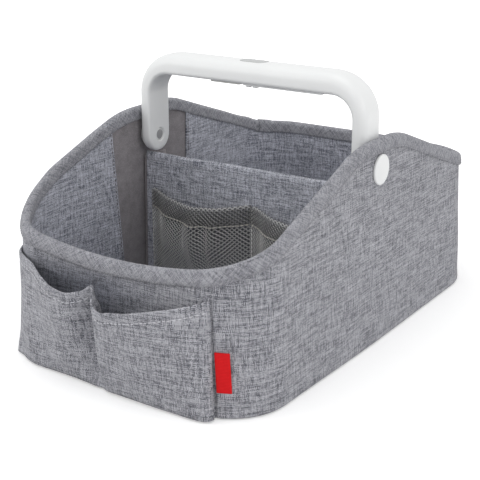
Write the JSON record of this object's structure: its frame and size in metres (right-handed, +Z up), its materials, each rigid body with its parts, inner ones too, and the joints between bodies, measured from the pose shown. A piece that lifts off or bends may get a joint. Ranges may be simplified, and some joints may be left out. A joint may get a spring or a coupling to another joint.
{
  "type": "diaper caddy",
  "caption": "Soft rectangular fabric caddy with arched side walls, gaping front pockets, a movable divider with net pockets and a folding bail handle with a built-in light.",
  "frame": {"origin": "middle of the bin's base, on the surface that it stands on", "axes": "+Z up, +Y from the pocket front to the back, +X along the grip towards the right side wall"},
  "size_m": [0.2112, 0.3605, 0.1921],
  "materials": {
    "heather_cloth": "slubby heather weave in mid grey",
    "lining_cloth": "slubby heather weave, a little darker",
    "bias_tape": "heather weave cut on the bias",
    "loop_pile": "dark short loop pile",
    "net_cloth": "open diamond net",
    "red_cloth": "plain woven tape",
    "stiff_board": "plain board",
    "white_plastic": "satin moulded",
    "grey_plastic": "satin moulded",
    "frosted_plastic": "frosted",
    "circuit_board": "solder mask",
    "steel": "plated",
    "cell_wrap": "plain shrink wrap"
  },
  "bodies": {
    "bin": {"front_panel": "heather_cloth", "right_side_panel": "heather_cloth", "left_side_panel": "heather_cloth", "back_panel": "heather_cloth", "front_board": "stiff_board", "right_side_board": "stiff_board", "left_side_board": "stiff_board", "back_board": "stiff_board", "front_lining": "lining_cloth", "back_lining": "lining_cloth", "right_loop_strip": "loop_pile", "left_loop_strip": "loop_pile", "base_panel": "heather_cloth", "base_board": "stiff_board", "floor_lining": "lining_cloth", "rim_tape": "bias_tape", "front_pocket": "heather_cloth", "seam_tab": "red_cloth", "right_pivot_cap": "white_plastic", "left_pivot_cap": "white_plastic", "right_pivot_screw": "steel", "left_pivot_screw": "steel", "right_pivot_bush": "grey_plastic", "left_pivot_bush": "grey_plastic"},
    "handle": {"handle_frame": "white_plastic", "right_screw_plug": "grey_plastic", "left_screw_plug": "grey_plastic", "lamp_board": "circuit_board", "left_led": "frosted_plastic", "right_led": "frosted_plastic", "tact_switch": "steel", "light_lens": "frosted_plastic", "front_cell": "cell_wrap", "rear_cell": "cell_wrap", "front_contact_leaf": "steel", "rear_contact_leaf": "steel", "contact_bridge": "steel"},
    "button": {"push_button": "grey_plastic"},
    "door": {"battery_door": "white_plastic"},
    "divider": {"divider_front": "heather_cloth", "divider_board": "stiff_board", "divider_back": "heather_cloth", "right_hook_flap": "loop_pile", "left_hook_flap": "loop_pile", "mesh_pocket": "net_cloth", "mesh_band": "net_cloth"}
  },
  "joints": [
    {"name": "handle_fold", "type": "hinge", "parent": "bin", "child": "handle", "pos_m": [0, -0.004, 0.127], "axis": [1, 0, 0], "range_deg": [-90, 90]},
    {"name": "button_press", "type": "slide", "parent": "handle", "child": "button", "axis": [0, 0, -1], "range_m": [0, 0.001], "stiffness_N_per_m": 800},
    {"name": "battery_door_swing", "type": "hinge", "parent": "handle", "child": "door", "pos_m": [0.0595, -0.004, 0.1748], "axis": [0, -1, 0], "range_deg": [0, 60]},
    {"name": "divider_shift", "type": "slide", "parent": "bin", "child": "divider", "axis": [0, 1, 0], "range_m": [-0.03, 0.03]}
  ]
}
